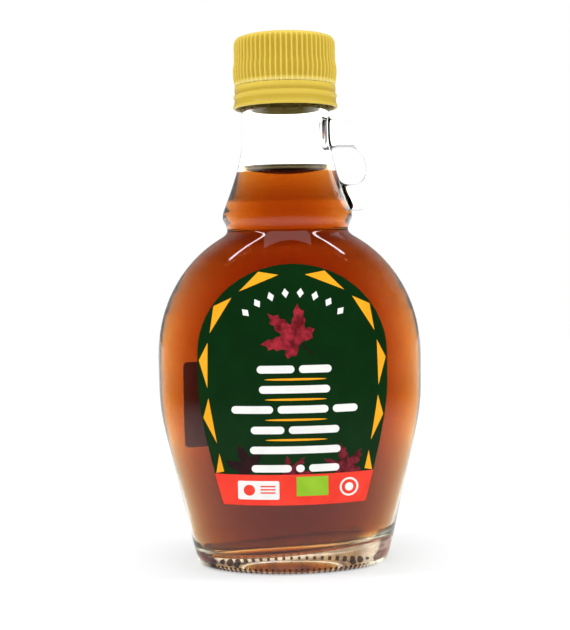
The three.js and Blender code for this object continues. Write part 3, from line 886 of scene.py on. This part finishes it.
printed("red_leaf", [leaf(LEAF_X, LEAF_Z, LEAF_SIZE, LEAF_TURN)], leaf_print)
printed("dark_leaf", [leaf(-13.2, 32.6, 9.5, math.radians(24)),
                      leaf(LEAF_X, LEAF_Z, LEAF_SIZE, LEAF_TURN, LEAF_STEM)], dark_leaf_print)
printed("fallen_leaves", [leaf(-1.4, 31.0, 7.5, math.radians(-35)), leaf(15.8, 31.6, 9.5, math.radians(12))],
        fallen_leaf_print)

# Where the real label has words, this one has a row of small lozenges and rows of plain bars.
ARC_Z, ARC_RADIUS, ARC_MARKS, ARC_HALF_TURN = 65.9, 20.4, 8, math.radians(44)
LOZENGE = [(1.05, 0), (0, 1.45), (-1.05, 0), (0, -1.45)]
PRINT_X = 0.2
marks = []
for i in range(ARC_MARKS):
    t = ARC_HALF_TURN * (2 * i / (ARC_MARKS - 1) - 1)
    spin = Matrix.Rotation(-t, 2)
    middle = Vector((PRINT_X, ARC_Z)) + spin @ Vector((0, ARC_RADIUS))
    marks.append([tuple(middle + spin @ Vector(corner)) for corner in LOZENGE])
printed("white_lozenges", marks, white_print)

# Each row's height, and the half widths of its bars.
BAR_ROWS = [(63.6, (5.6, 4.9)), (57.6, (10.6,)), (51.6, (6.2, 7.6, 3.8)), (45.4, (5.0, 7.6)), (39.3, (13.6,)),
            (33.6, (6.0, 1.3, 4.6))]
BAR_HEIGHT, BAR_GAP = 2.3, 1.3
bars = []
for z, halves in BAR_ROWS:
    x = -sum(halves) - BAR_GAP * (len(halves) - 1) / 2
    for half in halves:
        bars.append(bar(x + half + PRINT_X, z, half, BAR_HEIGHT))
        x += 2 * half + BAR_GAP
printed("white_bars", bars, white_print, layer=2)

# The thin gold rules between the rows swell towards their middle.
RULE_HALF, RULE_X, RULE_SWELL, RULE_END = 9.2, 0.5, 0.28, 0.04
rules = []
for z in (60.6, 54.6, 48.5, 42.4):
    ways = [1 - 2 * s for s in steps(16)]
    top = [(RULE_HALF * w + RULE_X, z + RULE_SWELL * (1 - w ** 2) ** 0.5 + RULE_END) for w in ways]
    rules.append(top + [(x, 2 * z - y) for x, y in top[::-1]])
printed("gold_rules", rules, gold_print)

# The red strip has three plain fields: a white box with a red disc and lines, a lime box and a round one.
BOX_X, BOX_Z = -11.0, 26.9
ROUND_X, ROUND_Z = 16.4, 27.2
printed("red_strip", [between(LABEL_FOOT_Z, STRIP_Z, 10)], red_print, layer=2)
printed("white_fields", [box(BOX_X, BOX_Z, 6.2, 2.9, 0.5), disc(ROUND_X, ROUND_Z, 2.9)], white_print, layer=3)
red_lines = [bar(BOX_X + 2.8, 28.1 - i, 2.3, 0.42) for i in range(3)]
red_discs = [disc(ROUND_X, ROUND_Z, 2.3), disc(BOX_X - 2.8, BOX_Z, 1.7)]
printed("red_disc", red_discs + red_lines, red_print, layer=4)
printed("white_disc", [disc(ROUND_X, ROUND_Z, 1.3)], white_print, layer=5)
printed("lime_field", [box(5.2, 28.0, 4.8, 3.0, 0.15)], lime_print, layer=3)


# The back label is a smaller plain sheet of the same green paper with white bars. From the front, its
# left edge shows through the syrup.
BACK_X, BACK_Z, BACK_HALF, BACK_HALF_HEIGHT, BACK_CORNER, BACK_GRID = -3.0, 49.6, 28.5, 13.4, 1.2, 2.0
BACK_LINES, BACK_LINE_X, BACK_LINE_TOP, BACK_LINE_PITCH, BACK_LINE_HEIGHT = 9, -2.0, 59.4, 2.6, 1.1
outline = box(BACK_X, BACK_Z, BACK_HALF, BACK_HALF_HEIGHT, BACK_CORNER)
bm = laid_on([outline], PAPER + GLUE, PAPER, BACK, BACK_GRID)
for face in bm.faces:
    face.material_index = 1 if face.normal.y < -0.2 else 0
back_label = piece("back_paper", bm, green_print, sharp=40)
back_label.data.materials.append(glue_side_painted_glow)
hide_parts("back_label")
lines = []
for i in range(BACK_LINES):
    half = 22.0 if i % 3 else 15.0
    lines.append(bar(BACK_LINE_X, BACK_LINE_TOP - BACK_LINE_PITCH * i, half, BACK_LINE_HEIGHT))
printed("back_bars", lines, white_print, facing=BACK)


# The floor is a plain pale sheet under soft studio light. Far from the flask it glows like the backdrop, so
# that no horizon shows. Mirrored, it is dim but behind the flask. Seen through glass, it is as bright as the
# backdrop there, with painted shade near the flask and a painted pool of amber light under the foot.
BACKLIGHT = 2.5
FLOOR_RADIUS = 6.0
floor_finish, start = new_finish("pale_floor")
is_mirrored, is_through = (start.node("LightPath", output=i) for i in (3, 6))
distance = start.node("VectorMath", {"operation": "LENGTH"}, {0: start.coordinates()}, 1)
behind = start.math("DIVIDE", start.node("SeparateXYZ", {}, {"Vector": start.coordinates()}, 1), distance)
away = distance.ramp(0.35, 1.3)
pale = start.node("BsdfPrincipled", {}, {
    "Base Color": away.mixed((0.66, 0.66, 0.66, 1), (0, 0, 0, 1)),
    "Roughness": 0.9,
    "Specular IOR Level": 0.0,
    "Emission Color": away.mixed((0.32, 0.32, 0.32, 1), (1, 1, 1, 1)),
    "Emission Strength": 1.0,
})
dim = start.node("BsdfPrincipled", {}, {"Base Color": (0.03, 0.03, 0.03, 1), "Roughness": 0.9})
dimness = (1 - behind.ramp(0.2, 0.9)) * distance.ramp(0.03, 0.4) * is_mirrored
oval = start.node("Mapping", {}, {"Vector": start.coordinates(), "Scale": (1, 1.5, 1)})
from_middle = start.node("VectorMath", {"operation": "LENGTH"}, {0: oval}, 1)
# Painted light and shade on the floor, seen only through glass: a pool of amber light under the foot, and
# grey shade round it.
painted_amber_light = start.noise(170, 2.0).ramp(0.35, 0.65).mixed((0.055, 0.020, 0.010, 1), (0.19, 0.095, 0.032, 1))
painted_smoky_shade = from_middle.ramp(0.024, 0.036).mixed(painted_amber_light, (0.40, 0.36, 0.32, 1))
glare = start.node("Emission", {}, {
    "Color": distance.ramp(0.05, 0.8).mixed(painted_smoky_shade, (1, 1, 1, 1)),
    "Strength": BACKLIGHT,
})
plain = start.node("MixShader", {}, {0: dimness, 1: pale, 2: dim})
show(start.node("MixShader", {}, {0: is_through, 1: plain, 2: glare}))
bm = bmesh.new()
bmesh.ops.create_circle(bm, cap_ends=True, segments=96, radius=FLOOR_RADIUS)
mesh = bpy.data.meshes.new("floor")
bm.to_mesh(mesh)
bm.free()
floor = bpy.data.objects.new("floor", mesh)
floor.data.materials.append(floor_finish)
bpy.context.collection.objects.link(floor)


def lamp(name, place, target, size, watts):
    """A rectangular soft light at a place, turned to a target."""
    data = bpy.data.lights.new(name, "AREA")
    data.shape = "RECTANGLE"
    data.size, data.size_y = size
    data.energy = watts
    made = bpy.data.objects.new(name, data)
    made.location = place
    made.rotation_euler = (Vector(target) - Vector(place)).to_track_quat("-Z", "Y").to_euler()
    bpy.context.collection.objects.link(made)


# Two narrow lamps draw the bright streaks on the shoulder, and a broad one lights the cap.
for name, side in (("left_softbox", -1), ("right_softbox", 1)):
    lamp(name, (side * 0.8, -0.15, 1.3), (0, 0, 0.1), (0.10, 0.6), 3)
lamp("top_softbox", (0, -0.35, 1.4), (0, 0, 0.05), (1.2, 0.9), 4)

# The studio round the flask is bright behind and beside it and dark before and above it, and in mirrors
# it is dim. What the camera sees past the floor is plain white.
world = bpy.data.worlds.new("studio")
world.use_nodes = True
world.node_tree.nodes.clear()
bpy.context.scene.world = world
start = Socket(world.node_tree)
way = start.node("TexCoord", output=0)
to_back = start.node("SeparateXYZ", {}, {"Vector": way}, 1)
upwards = start.node("SeparateXYZ", {}, {"Vector": way}, 2)
AMBIENT, MIRROR_LIGHT, MIRROR_DARK, THROUGH_DARK = 0.95, 0.25, 0.04, 0.05
mirrored = to_back.ramp(0.2, 0.9) * MIRROR_LIGHT + MIRROR_DARK
overhead = 1 - upwards.ramp(0.35, 0.75) * 0.85
through = to_back.ramp(-0.7, -0.1) * overhead * (BACKLIGHT - THROUGH_DARK) + THROUGH_DARK
is_camera, is_glossy, is_passing = (start.node("LightPath", output=i) for i in (0, 3, 6))


def switched(switch, off, on):
    """The second value where the switch is 1, and else the first."""
    return (1 - switch) * off + switch * on


light = switched(is_camera, switched(is_passing, switched(is_glossy, AMBIENT, mirrored), through), 1.0)
background = start.node("Background", {}, {"Color": (1, 1, 1, 1), "Strength": light})
start.node("OutputWorld", {}, {"Surface": background})
bpy.context.scene.view_settings.view_transform = "Standard"
